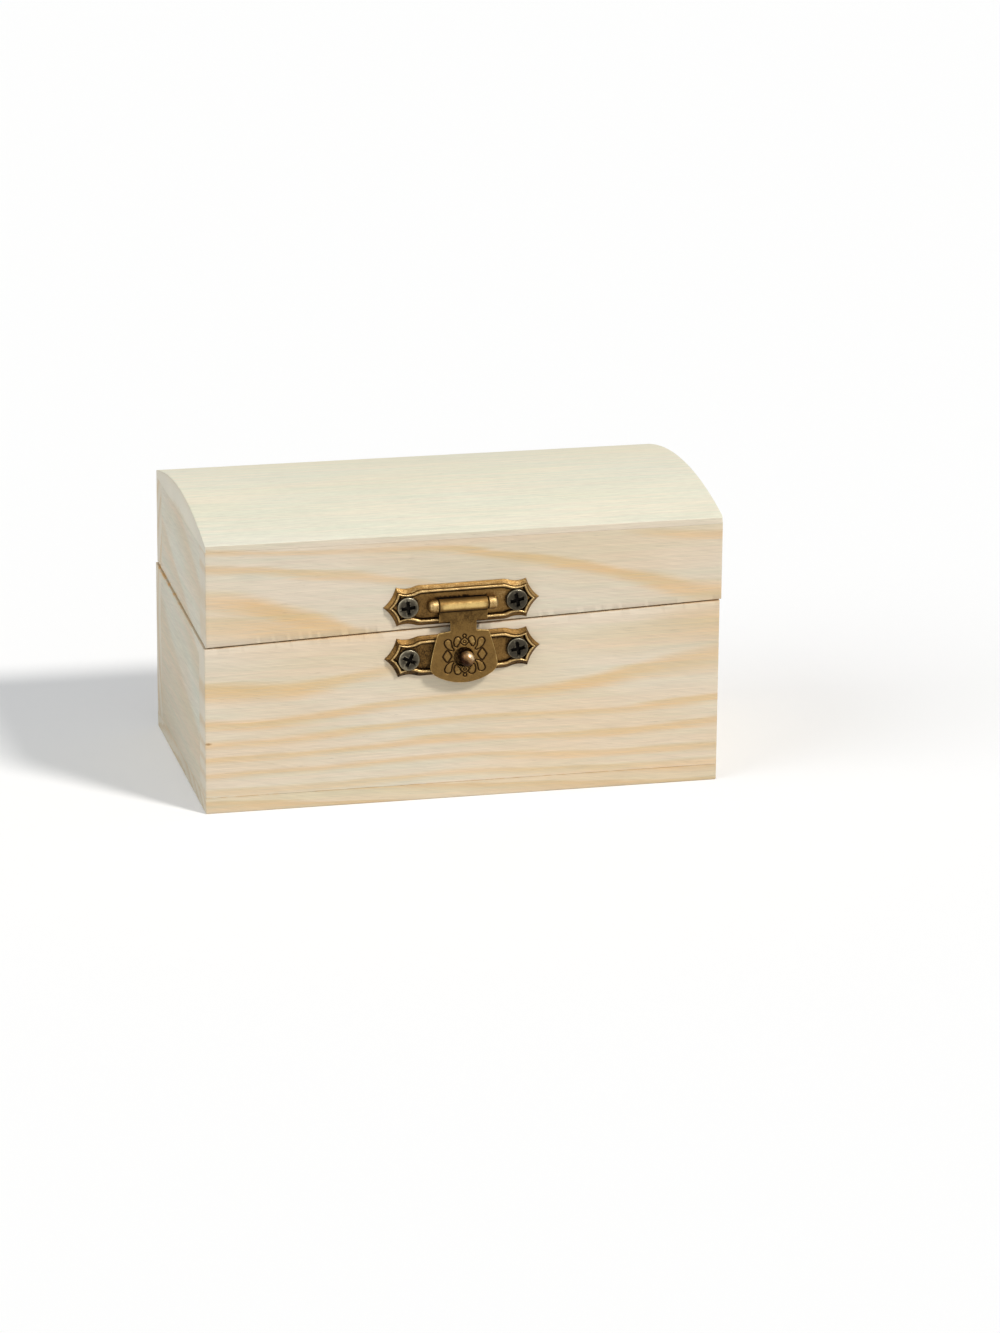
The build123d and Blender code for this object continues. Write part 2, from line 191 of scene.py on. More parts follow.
class Nodes:
    """Short calls that build the shader nodes of a material or of the world."""

    def __init__(self, owner):
        owner.use_nodes = True
        self.tree = owner.node_tree
        self.tree.nodes.clear()

    def put(self, kind, inputs=(), **settings):
        """One node with its settings, and with links or plain values on its inputs."""
        node = self.tree.nodes.new("ShaderNode" + kind)
        for key, value in settings.items():
            setattr(node, key, value)
        for key, value in dict(inputs).items():
            if isinstance(value, Term):
                value = value.socket
            if isinstance(value, bpy.types.NodeSocket):
                self.tree.links.new(value, node.inputs[key])
            else:
                node.inputs[key].default_value = value
        return node

    def math(self, operation, *values, clamp=False):
        """Arithmetic on numbers."""
        node = self.put("Math", enumerate(values), operation=operation, use_clamp=clamp)
        return Term(self, node.outputs[0])

    def math3(self, operation, *values):
        """Arithmetic on vectors."""
        return self.put("VectorMath", enumerate(values), operation=operation).outputs[0]

    def most(self, first, *others):
        """Largest of some values."""
        for other in others:
            first = self.math("MAXIMUM", first, other)
        return first

    def join(self, *parts):
        """Vector of three numbers."""
        return self.put("CombineXYZ", enumerate(parts)).outputs[0]

    def split(self, value, kind="SeparateXYZ"):
        """The three numbers of a vector or colour."""
        return [Term(self, socket) for socket in self.put(kind, {0: value}).outputs]

    def ramp(self, value, low, high, start=0.0, end=1.0):
        """Smooth step of a value from one range to another."""
        node = self.put("MapRange", enumerate((value, low, high, start, end)),
                        interpolation_type="SMOOTHSTEP")
        return Term(self, node.outputs[0])

    def mix(self, share, first, second, blend="MIX"):
        """Blend of two colours; three plain numbers are a tone of 0 to 255, four are linear."""
        colours = [tone(*c) if isinstance(c, tuple) and len(c) == 3 else c for c in (first, second)]
        inputs = {0: share, 6: colours[0], 7: colours[1]}
        return self.put("Mix", inputs, data_type="RGBA", blend_type=blend).outputs[2]

    def shade(self, colour, light):
        """Colour made lighter or darker."""
        return self.mix(1.0, colour, self.join(light, light, light), "MULTIPLY")

    def seen_rays(self):
        """1 for what the camera, a reflection or glass sees, and 0 for light on the object."""
        rays = self.put("LightPath").outputs
        return self.most(*(rays[f"Is {kind} Ray"] for kind in ("Camera", "Glossy", "Transmission")))


class Paint(Nodes):
    """Material of a piece, with the place on it in millimetres."""

    def __init__(self, name):
        self.material = bpy.data.materials.new(name)
        super().__init__(self.material)
        self.place = self.math3("MULTIPLY", self.put("TexCoord").outputs["Object"], (1 / MM,) * 3)
        self.x, self.y, self.z = self.split(self.place)

    def noise(self, scale, detail=2.0, roughness=0.5, at=None):
        """Soft noise from 0 to 1; scale is one number, or one for each axis."""
        at = at or self.place
        if not np.isscalar(scale):
            at, scale = self.math3("MULTIPLY", at, scale), 1.0
        settings = {"Vector": at, "Scale": scale, "Detail": detail, "Roughness": roughness}
        return Term(self, self.put("TexNoise", settings).outputs["Fac"])

    def wear_and_light(self):
        """Wear and painted light of a mesh: 0 in hollows and painted shade, 1 on worn ridges and painted
        highlights.
        """
        return Term(self, self.put("Attribute", attribute_name="wear_and_light").outputs["Fac"])

    def bump(self, height, distance, strength):
        """Bump whose height value of 1 stands for a distance in millimetres."""
        inputs = {"Strength": strength, "Distance": distance * MM, "Height": height}
        return self.put("Bump", inputs).outputs[0]

    def finish(self, colour, roughness, normal, **fixed):
        """Surface shader; the fixed values go straight to its sockets."""
        inputs = {"Base Color": colour, "Roughness": roughness, "Normal": normal}
        inputs.update({key.replace("_", " "): value for key, value in fixed.items()})
        self.put("OutputMaterial", {"Surface": self.put("BsdfPrincipled", inputs).outputs[0]})
        return self.material


# Growth rings on the front, one figure through lid and base: x, height, half width, strength
front_bands = {
    "upper_left": [
        (-47.5, 45.9, 1.1, 0.6), (-37, 45.1, 1.1, 0.65), (-28, 43.9, 1.0, 0.65), (-20, 43.2, 1.1, 0.6),
        (-12, 41.8, 1.1, 0.5), (-2, 40.0, 0.8, 0.2), (8, 39.0, 0.8, 0.0)],
    "wedge": [
        (-47.5, 40.2, 2.4, 0.5), (-41, 39.2, 2.8, 0.75), (-36, 37.8, 3.0, 0.9), (-31, 36.0, 3.0, 0.9),
        (-25, 34.4, 2.4, 0.85), (-20, 32.8, 1.5, 0.6), (-14, 31.6, 0.8, 0.0)],
    "wedge_foot": [
        (-47.5, 35.6, 3.2, 0.45), (-40, 35.0, 3.0, 0.6), (-32, 34.0, 2.4, 0.7), (-24, 32.8, 1.6, 0.6),
        (-18, 32.0, 1.0, 0.0)],
    "crossing": [
        (-30, 48.2, 0.8, 0.0), (-15, 47.7, 0.9, 0.4), (-2.5, 47.2, 1.1, 0.7), (6, 45.5, 1.2, 0.8),
        (15, 43.9, 1.3, 0.8), (24.5, 42.0, 1.4, 0.85), (32, 40.0, 1.7, 0.8), (38, 38.3, 2.1, 0.75),
        (43, 37.0, 2.4, 0.7), (47.5, 36.5, 2.6, 0.65)],
    "top_left": [
        (-47.5, 49.0, 0.7, 0.6), (-30, 48.1, 0.6, 0.5), (-18, 47.9, 0.6, 0.4), (-6, 48.4, 0.6, 0.0)],
    "top_right": [
        (28, 48.6, 0.7, 0.0), (37, 47.7, 0.9, 0.5), (44, 47.2, 0.9, 0.6), (47.5, 47.1, 0.9, 0.6)],
    "first_base": [
        (-47.5, 23.3, 2.1, 0.8), (-40, 22.9, 2.0, 0.85), (-33, 22.6, 1.8, 0.85), (-26, 23.2, 1.6, 0.75),
        (-18, 24.6, 1.4, 0.6), (-8, 25.8, 1.3, 0.4), (6, 26.4, 1.0, 0.0)],
    "second_base": [
        (-47.5, 16.9, 1.2, 0.75), (-38, 16.6, 1.2, 0.8), (-28, 17.2, 1.2, 0.75), (-20, 18.1, 1.1, 0.7),
        (-8, 19.1, 1.0, 0.6), (4, 19.4, 1.0, 0.6), (14, 19.6, 1.3, 0.75), (23, 20.6, 1.6, 0.85),
        (32, 22.2, 2.0, 0.75), (40, 23.4, 2.8, 0.65), (47.5, 24.4, 3.3, 0.6)],
    "blush": [
        (16, 28.5, 1.0, 0.0), (28, 29.0, 3.2, 0.2), (40, 30.2, 4.4, 0.45), (47.5, 30.6, 4.8, 0.55)],
    "third_base": [
        (-47.5, 13.1, 0.9, 0.6), (-35, 13.2, 0.9, 0.6), (-22, 13.9, 0.9, 0.65), (-10, 14.7, 0.9, 0.65),
        (3, 15.2, 0.9, 0.65), (15, 15.0, 0.9, 0.6), (27, 14.9, 0.9, 0.6), (38, 15.6, 1.1, 0.7),
        (47.5, 16.3, 1.2, 0.75)],
    "fourth_base": [
        (-47.5, 10.3, 0.8, 0.6), (-30, 10.4, 0.8, 0.6), (-15, 11.0, 0.9, 0.65), (-3, 11.7, 0.9, 0.65),
        (10, 11.2, 0.8, 0.6), (21, 10.7, 0.9, 0.65), (33, 10.9, 1.0, 0.7), (47.5, 11.8, 1.0, 0.7)],
    "fifth_base": [
        (-47.5, 7.4, 0.9, 0.55), (-30, 7.4, 0.9, 0.55), (-15, 7.9, 0.9, 0.6), (-3, 8.3, 0.9, 0.6),
        (8, 7.8, 0.9, 0.55), (20, 7.1, 0.9, 0.6), (32, 6.8, 0.9, 0.6), (47.5, 6.8, 0.9, 0.6)],
    "lowest": [
        (-47.5, 4.0, 0.9, 0.45), (-30, 3.9, 0.9, 0.45), (-14, 4.4, 0.9, 0.5), (0, 5.0, 0.9, 0.5),
        (15, 4.2, 0.8, 0.5), (30, 3.8, 0.8, 0.5), (47.5, 3.9, 0.8, 0.5)],
}

# Size of the figure, and the half width of a band whose curve is at its top
figure_width = 100.0
figure_height = 52.0
figure_band = 5.0

# Pine: how far broad and thin streaks and slow clouds move the rings, how steep the slanted
# streaks are, how much thin, broad and slanted streaks, clouds and pores change the light, and
# the depth of the grain
ring_ripple = (1.7, 0.8)
ring_wander = 3.2
streak_lean = 0.2
streak_light = (0.36, 0.14, 0.2, 0.16)
pore_shade = 0.10
pine_relief = 0.045

# Tones of the wood's marks and of the painted shade seen through the hasp's window, and the small
# knot near the left edge of the base
scorch_tone = (206, 162, 98)
knot_tone = (150, 110, 62)
window_shade_tone = (44, 27, 18)
cut_early, cut_late = (212, 204, 187), (199, 182, 154)
knot_place = (-46.9, -26.2, 13.2)
knot_squeeze = (0.75, 0.4, 2.2)


def ring_band(paint, points, warp):
    """How strongly one growth ring colours the front; it reaches further down than up."""
    share_x = paint.x / figure_width + 0.5
    node = paint.put("RGBCurve", {"Color": paint.join(share_x, share_x, share_x)})
    node.mapping.use_clip = False
    for number, scale in enumerate((figure_height, figure_band, 1.0)):
        curve = node.mapping.curves[number].points
        while len(curve) < len(points):
            curve.new(0.5, 0.5)
        for spot, point in zip(curve, points):
            spot.location = (point[0] / figure_width + 0.5, point[number + 1] / scale)
            spot.handle_type = "AUTO_CLAMPED"
    node.mapping.update()
    height, width, strength = paint.split(node.outputs[0], "SeparateColor")
    above = warp - height * figure_height
    far = paint.most(above * 1.3, above * -0.85) / (width * figure_band)
    return paint.ramp(far, 0.15, 1.25, 1.0, 0.0) * strength


def run_and_side(paint, along):
    """The coordinate along a board's grain, and the level one across it."""
    return (paint.x, paint.y) if along == "x" else (paint.y, paint.x)


def streaks(paint, along, slow, fast, detail=2.0, roughness=0.5):
    """Noise drawn out along the grain."""
    return paint.noise([slow if axis == along else fast for axis in "xyz"], detail, roughness)


def fibres(paint, along):
    """Fine streaks: broad, thin and slanted ones, and short dark pores."""
    broad = streaks(paint, along, 0.03, 0.75, 3, 0.6)
    thin = streaks(paint, along, 0.12, 3.4, 3, 0.65)
    pores = paint.ramp(streaks(paint, along, 0.35, 4.5, 1), 0.66, 0.78)
    run, side = run_and_side(paint, along)
    leaning = paint.join(run, side, paint.z + run * streak_lean)
    slanted = paint.noise((0.16, 2.6, 2.6), roughness=0.6, at=leaning)
    return broad, thin, slanted, pores


def pine(name, along, early, late, bands=None, trunk=None, depth=1.0, strip=None):
    """Sanded pine whose grain runs along an axis.

    early and late are the tones of the wood between the rings and in them, and depth is how
    strong the rings are. The rings are the given bands, or those of a trunk: its middle across
    the grain, the lean of its axis and the spacing of its rings. strip is a pair of tones for
    the thin front edge of the lid's top.
    """
    paint = Paint(name)
    broad, thin, slanted, pores = fibres(paint, along)
    slow = streaks(paint, along, 0.018, 0.06)
    ripple = (broad - 0.5) * ring_ripple[0] + (thin - 0.5) * ring_ripple[1]
    if bands:
        warp = paint.z + ripple
        ring = paint.most(0.0, *(ring_band(paint, points, warp) for points in bands.values()))
    else:
        middles, leans, spacing = trunk
        run, side = run_and_side(paint, along)
        wander = (slow - 0.5) * ring_wander
        legs = [place - middle + run * lean + wander
                for place, middle, lean in zip((side, paint.z), middles, leans)]
        radius = paint.math("SQRT", legs[0] * legs[0] + legs[1] * legs[1])
        phase = paint.math("FRACT", (radius + ripple) / spacing)
        ring = paint.ramp(phase, 0.25, 0.85) * paint.ramp(phase, 0.86, 1.0, 1.0, 0.0)
    ring = paint.math("MULTIPLY", ring * depth, thin * 1.2 + 0.4, clamp=True)

    warmth = paint.ramp(paint.noise((0.02, 0.05, 0.07)), 0.35, 0.7)
    colour = paint.mix(ring, paint.mix(warmth, early, paint.mix(0.3, early, late)), late)
    if strip:
        edge_ring = ring_band(paint, front_bands["top_left"], paint.z)
        colour = paint.mix(front_facing(paint), colour, paint.mix(edge_ring, *strip))
    tint = paint.mix(paint.ramp(broad, 0.36, 0.64), (0.982, 1.005, 0.992, 1.0), (1.016, 0.988, 0.986, 1.0))
    colour = paint.mix(1.0, colour, tint, "MULTIPLY")
    light = pores * -pore_shade + 1.0
    for streak, amount in zip((thin, broad, slanted, slow), streak_light):
        light = light + (streak - 0.5) * amount
    colour = paint.shade(colour, light)
    colour = paint.mix(end_grain(paint, along), colour, end_colour(paint, ring, slow))
    colour = paint.mix(saw_scorch(paint), colour, scorch_tone)
    if bands:
        colour = paint.mix(knot(paint), colour, knot_tone)
        # Painted shade where the wood shows through the hasp's window
        colour = paint.mix(window_shade(paint), colour, window_shade_tone)
    normal = paint.bump(thin * 0.7 + pores * -0.6 + ring * 0.5, pine_relief, 0.7)
    return paint.finish(colour, thin * 0.16 + 0.56, normal, Specular_IOR_Level=0.35)


def facing(paint):
    """The three parts of the surface's direction in the chest's own frame."""
    normal = paint.put("NewGeometry").outputs["True Normal"]
    turned = paint.put("VectorTransform", {"Vector": normal}, vector_type="NORMAL", convert_from="WORLD",
                       convert_to="OBJECT")
    return paint.split(turned.outputs[0])


def front_facing(paint):
    """1 on surfaces that face the front of the chest."""
    return paint.ramp(facing(paint)[1] * -1.0, 0.75, 0.95)


def end_grain(paint, along):
    """How far the surface cuts across the grain."""
    return paint.ramp(abs(facing(paint)["xyz".index(along)]), 0.6, 0.8) * 0.75


def end_colour(paint, ring, slow):
    """Cut ends: paler rings, fine pits and soft clouds."""
    pits = (paint.noise(3.2, 3, 0.7) - 0.5) * 0.22
    return paint.shade(paint.mix(ring, cut_early, cut_late), pits + 1.0 + (slow - 0.5) * 0.3)


def saw_scorch(paint):
    """Brown edges where the saw rubbed, strongest on the left end towards the back, and glue lines."""
    seam = paint.x * seam_slope_right + paint.y * seam_slope_back + seam_height
    off_seam = abs(paint.z - seam)
    near = paint.ramp(off_seam, 0.15, 0.75, 1.0, 0.0)
    left = paint.ramp(paint.x, -46.0, -47.3)
    back = paint.ramp(paint.y, -14.0, 8.0) * paint.ramp(paint.y, 22.0, 26.0, 1.0, 0.35)
    broken = paint.ramp(paint.noise(0.55), 0.40, 0.60)
    rubbed = near * (left * back * broken) * 0.9
    outer_rim = [paint.ramp(abs(place), half - 1.1, half - 0.3)
                 for place, half in ((paint.x, -base_low[0]), (paint.y, -front_y))]
    patchy = paint.ramp(paint.noise(0.3), 0.35, 0.6, 0.4, 1.0)
    edge = paint.ramp(off_seam, 0.13, 0.30, 0.45, 0.0) * patchy * paint.most(*outer_rim)
    glue = paint.ramp(abs(paint.z - floor_top), 0.05, 0.24, 0.3, 0.0)
    glue = glue * paint.ramp(paint.noise(0.5), 0.35, 0.6)
    return paint.most(edge, glue, rubbed)


def window_shade(paint):
    """Painted shade on the wood that shows through the window of the hasp's plate."""
    middle = middle_of("hasp_pin")
    across = paint.ramp(abs(paint.x - middle[0]), window_half_length, window_half_length + 0.3, 1.0, 0.0)
    up = paint.ramp(abs(paint.z - middle[2]), window_half_height + 0.1, window_half_height + 0.4, 1.0, 0.0)
    return across * up * front_facing(paint)


def knot(paint):
    """Small dark knot near the left edge of the base."""
    squeezed = paint.math3("MULTIPLY", paint.math3("SUBTRACT", paint.place, knot_place), knot_squeeze)
    far = paint.put("VectorMath", {0: squeezed}, operation="LENGTH").outputs["Value"]
    return paint.ramp(paint.noise(2.2) * 0.5 + far, 0.35, 0.95, 0.75, 0.0)


def brass(name, dark, middle, bright, rough=0.36, grain=0.5, patina=0.5, mottle=0.5, even=None):
    """Aged brass: dark in its hollows and painted shade, bright on worn ridges and painted highlights, with
    a mottled patina.

    even is the wear of pieces whose mesh doesn't carry any.
    """
    paint = Paint(name)
    wear_and_light = paint.wear_and_light() if even is None else even
    cloud = paint.noise(0.55, 4, 0.6)
    fine = paint.noise(5.0, 3, 0.6)
    level = wear_and_light + (cloud - 0.5) * patina + (fine - 0.5) * mottle
    high = paint.ramp(level, 0.5, 1.0)
    colour = paint.mix(high, paint.mix(paint.ramp(level, 0.05, 0.5), dark, middle), bright)
    normal = paint.bump(paint.noise(7.0, 2, 0.7), 0.05, grain)
    return paint.finish(colour, (0.6 - high) * 0.16 + rough, normal, Metallic=1.0)


def nickel(name):
    """Darkened nickel of the screws: grey steel rims, nearly black in the recess."""
    paint = Paint(name)
    level = paint.wear_and_light() + (paint.noise(1.6, 3, 0.6) - 0.5) * 0.5
    high = paint.ramp(level, 0.5, 1.0)
    colour = paint.mix(paint.ramp(level, 0.0, 0.5), (20, 18, 16), (68, 63, 53))
    colour = paint.mix(high, colour, (142, 134, 114))
    normal = paint.bump(paint.noise(9.0, 2, 0.6), 0.02, 0.5)
    return paint.finish(colour, 0.44 - high * 0.14, normal, Metallic=1.0)


# Meshes

class Shape:
    """Points, faces, and wear with painted light, of a mesh under construction."""

    def __init__(self, *first):
        self.points, self.faces, self.wear_and_light = [], [], []
        if first:
            self.add(*first)

    def add(self, points, faces, wear_and_light):
        """More points and faces; the wear and painted light is one value, or one for each point."""
        start = len(self.points)
        self.points += [tuple(point) for point in points]
        self.faces += [[start + int(number) for number in face] for face in faces]
        self.wear_and_light += list(np.broadcast_to(wear_and_light, len(points)))

    def moved(self, turn, origin):
        """The shape put from its own frame into the chest's."""
        self.points = list(np.array(self.points) @ turn.T + origin)
        return self


def hung(name, data):
    """Object of a mesh, lamp or camera, in the scene."""
    item = bpy.data.objects.new(name, data)
    bpy.context.scene.collection.objects.link(item)
    return item


def add_piece(name, shape, body, material, sharp=38.0, lean=(0, 0, 0)):
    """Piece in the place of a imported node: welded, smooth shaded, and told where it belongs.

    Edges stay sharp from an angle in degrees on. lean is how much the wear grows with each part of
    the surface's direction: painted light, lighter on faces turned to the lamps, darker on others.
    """
    mesh = bpy.data.meshes.new(name)
    mesh.from_pydata((np.array(shape.points) * MM).tolist(), [], shape.faces)
    mesh.attributes.new("wear_and_light", "FLOAT", "POINT").data.foreach_set("value", np.array(shape.wear_and_light, float))
    work = bmesh.new()
    work.from_mesh(mesh)
    bmesh.ops.remove_doubles(work, verts=work.verts, dist=weld_distance * MM)
    bmesh.ops.recalc_face_normals(work, faces=work.faces)
    work.to_mesh(mesh)
    work.free()
    wear_and_light = np.empty(len(mesh.vertices))
    mesh.attributes["wear_and_light"].data.foreach_get("value", wear_and_light)
    normals = np.array([vertex.normal[:] for vertex in mesh.vertices])
    # Painted light: wear added on faces turned towards the lamps and taken from those turned away
    mesh.attributes["wear_and_light"].data.foreach_set("value", wear_and_light + normals @ np.array(lean, float))
    mesh.shade_smooth()
    mesh.set_sharp_from_angle(angle=radians(sharp))
    mesh.materials.append(material)
    piece = hung(name, mesh)
    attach(piece, body)
    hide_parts(name)


def grid_faces(rows, columns):
    """Square faces between rows of points, closed round each row."""
    return [(row * columns + column, row * columns + (column + 1) % columns,
             (row + 1) * columns + (column + 1) % columns, (row + 1) * columns + column)
            for row in range(rows - 1) for column in range(columns)]


def turns(count):
    """Evenly spread angles of a full turn."""
    return np.linspace(0, 2 * pi, count, endpoint=False)


def circle(radius, count):
    """Points of a circle round the origin."""
    return radius * np.column_stack([np.cos(turns(count)), np.sin(turns(count))])


def raised(loop, level):
    """Flat points with a level, or a level each."""
    return np.column_stack([loop, np.broadcast_to(level, len(loop))])


def stacked(rings):
    """Points, faces and wear of a skin through closed loops, each with its level and wear."""
    points = np.concatenate([raised(loop, level) for loop, level, _ in rings])
    count = len(rings[0][0])
    return points, grid_faces(len(rings), count), np.repeat([wear_and_light for *_, wear_and_light in rings], count)


def far_from(points, spot):
    """Distance of flat points from a spot."""
    return np.hypot(points[:, 0] - spot[0], points[:, 1] - spot[1])


def everywhere(spots):
    """Zone of a patch that takes in all of it."""
    return np.ones(len(spots), bool)


def inside(points, outer, holes=()):
    """True for each point that lies in a closed loop and outside its holes."""
    result = np.zeros(len(points), bool)
    x, y = points[:, 0], points[:, 1]
    for (x0, y0), (x1, y1) in zip(outer, np.roll(outer, -1, axis=0)):
        crosses = (y0 > y) != (y1 > y)
        if crosses.any():
            result ^= crosses & (x < (x1 - x0) * (y - y0) / (y1 - y0) + x0)
    for hole in holes:
        result &= ~inside(points, hole)
    return result


def nearest(points, loops):
    """Distance from each point to the nearest sample of some loops."""
    samples = np.concatenate(loops)
    tree = KDTree(len(samples))
    for number, (x, y) in enumerate(samples):
        tree.insert((x, y, 0), number)
    tree.balance()
    return np.array([tree.find((x, y, 0))[2] for x, y in points])


def even_loop(loop, step):
    """Closed loop with its points about a step apart, corners kept."""
    result = []
    for first, second in zip(loop, np.roll(loop, -1, axis=0)):
        count = max(1, int(np.linalg.norm(second - first) / step + 0.5))
        result += [first + (second - first) * share / count for share in range(count)]
    return np.array(result)


def patch(outer, holes, zones, rows=()):
    """Flat triangle mesh between an outline and holes.

    zones are (step, test) pairs for the grid of inner points, and rows are distances from
    the edges at which more points follow them.
    """
    loops = [outer, *holes]
    low, high = outer.min(axis=0), outer.max(axis=0)
    filling = []
    for step, test in zones:
        xs = np.arange(low[0] + step / 2, high[0], step)
        ys = np.arange(low[1] + step / 2, high[1], step)
        spots = np.stack(np.meshgrid(xs, ys), -1).reshape(-1, 2)
        spots[:, 0] += step / 4 * np.where((spots[:, 1] / step).astype(int) % 2, 1, -1)
        spots = spots[test(spots)]
        spots = spots[inside(spots, outer, holes)]
        margin = max([0.6 * step] + [1.15 * row for row in rows])
        filling.append(spots[nearest(spots, loops) > margin])
    for row in rows:
        for loop, side in [(outer, 1)] + [(hole, -1) for hole in holes]:
            ahead = np.roll(loop, -1, axis=0) - np.roll(loop, 1, axis=0)
            across = np.stack([-ahead[:, 1], ahead[:, 0]], -1) / np.linalg.norm(ahead, axis=1)[:, None]
            winding = np.sum(loop[:, 0] * np.roll(loop[:, 1], -1) - np.roll(loop[:, 0], -1) * loop[:, 1])
            spots = loop + across * row * side * np.sign(winding)
            filling.append(spots[nearest(spots, loops) > 0.93 * row])
    edges, start = [], 0
    for loop in loops:
        edges += [(start + k, start + (k + 1) % len(loop)) for k in range(len(loop))]
        start += len(loop)
    flat = [Vector(point) for point in np.concatenate(loops + filling).tolist()]
    out_points, _, out_faces, *_ = delaunay_2d_cdt(flat, edges, [], 0, 1e-6)
    points = np.array([tuple(point) for point in out_points])
    faces = np.array(out_faces)
    return points, faces[inside(points[faces].mean(axis=1), outer, holes)]


def three_point_arc(first, middle, last, count):
    """Points of the arc from first through middle towards last, without the last."""
    a, b, c = (np.array(point, float) for point in (first, middle, last))
    turn = (b[0] - a[0]) * (c[1] - a[1]) - (b[1] - a[1]) * (c[0] - a[0])
    centre = np.linalg.solve(2 * np.array([b - a, c - a]), [b @ b - a @ a, c @ c - a @ a])
    start, end = (atan2(*(point - centre)[::-1]) for point in (a, c))
    sweep = (end - start) % (2 * pi) if turn > 0 else -((start - end) % (2 * pi))
    radius = np.linalg.norm(a - centre)
    angles = [start + sweep * k / count for k in range(count)]
    return [centre + radius * np.array([cos(angle), sin(angle)]) for angle in angles]


def eased_corner(loop, corner, reach):
    """Loop with one corner replaced by a short curve that starts reach before it."""
    loop = np.roll(loop, -int(far_from(loop, corner).argmin()), axis=0)
    kept = loop[far_from(loop, corner) > reach]
    curve = [(1 - t) ** 2 * kept[-1] + 2 * t * (1 - t) * loop[0] + t * t * kept[0]
             for t in np.linspace(0, 1, 12)[1:-1]]
    return np.concatenate([kept, curve])


# Boards

def box_shell(rows):
    """Points and square faces of a box's skin, from its rows along each axis."""
    numbers, faces = {}, []
    for axis, a, b in ((0, 1, 2), (1, 2, 0), (2, 0, 1)):
        for side in (0, len(rows[axis]) - 1):
            for p, q in product(range(len(rows[a]) - 1), range(len(rows[b]) - 1)):
                ring = []
                for step_a, step_b in ((0, 0), (1, 0), (1, 1), (0, 1)):
                    key = [0, 0, 0]
                    key[axis], key[a], key[b] = side, p + step_a, q + step_b
                    ring.append(numbers.setdefault(tuple(key), len(numbers)))
                faces.append(ring if side else ring[::-1])
    return np.array([[rows[axis][key[axis]] for axis in range(3)] for key in numbers]), faces


def board_rows(low, high, ease_low, ease_high, step):
    """Rows across a board, close together where its edges are eased."""
    start = [low + ease_low * share for share in edge_row_shares]
    stop = [high - ease_high * share for share in reversed(edge_row_shares)]
    count = max(2, round((stop[0] - start[-1]) / step))
    return np.array(start + list(np.linspace(start[-1], stop[0], count + 1)[1:-1]) + stop)


def board(name, body, material, ease_low, ease_high, steps, reshape=None):
    """Board in the box of its node, with eased edges, put through a function that reshapes it."""
    low, high = span(name)
    points, faces = box_shell([board_rows(*sizes) for sizes in zip(low, high, ease_low, ease_high, steps)])
    ease_low, ease_high = np.array(ease_low), np.array(ease_high)
    core = np.clip(points, low + ease_low, high - ease_high)
    soft = np.where(points > core, ease_high, ease_low)
    share = (points - core) / soft
    points = core + soft * share / np.linalg.norm(share, axis=1, keepdims=True)
    if reshape:
        points = reshape(points, low, high)
    add_piece(name, Shape(points, faces, 0.5), body, material, sharp=50.0)


def sawn(side):
    """Reshapes a board whose underside (side 1) or top (side -1) follows the saw cut.

    The sawn edges are pulled away from the cut here and there, where fibres broke off.
    """
    def reshape(points, low, high):
        share = (points[:, 2] - low[2]) / (high[2] - low[2])
        cut = seam_height + seam_slope_right * points[:, 0] + seam_slope_back * points[:, 1]
        cut += side * seam_gap / 2
        off_cut = points[:, 2] - low[2] if side > 0 else high[2] - points[:, 2]
        off_rim = np.minimum(points[:, :2] - low[:2], high[:2] - points[:, :2]).min(axis=1)
        foot, top = (cut, high[2]) if side > 0 else (low[2], cut)
        points[:, 2] = foot + share * (top - foot)
        for number in np.nonzero((off_cut < 0.7 * seam_ease) & (off_rim < 0.3))[0]:
            x, y, _ = points[number]
            rough = max(0.0, noise.noise((x * 1.9, y * 1.9, side * 7.0)))
            chips = max(0.0, noise.noise((x * 0.8, y * 0.8, side * 3.0)) - 0.3)
            points[number, 2] += side * (fray_depth * rough + chip_depth * chips)
        return points
    return reshape


def domed(points, low, high):
    """Reshapes a board to a shallow dome, with a small chip at its right front corner."""
    half = (high[1] - low[1]) / 2
    radius = (half ** 2 + dome_rise ** 2) / (2 * dome_rise)
    middle = (low[1] + high[1]) / 2
    top = high[2] - radius + np.sqrt(radius ** 2 - (points[:, 1] - middle) ** 2)
    share = (points[:, 2] - low[2]) / (high[2] - low[2])
    points[:, 2] = low[2] + share * (top - low[2])
    chip = np.array([high[0] - 0.3, low[1] + 0.1, high[2] - dome_rise - 0.2])
    dent = np.clip(1 - np.linalg.norm((points - chip) / corner_chip_size, axis=1), 0, 1) ** 0.7
    return points + dent[:, None] * corner_chip_push


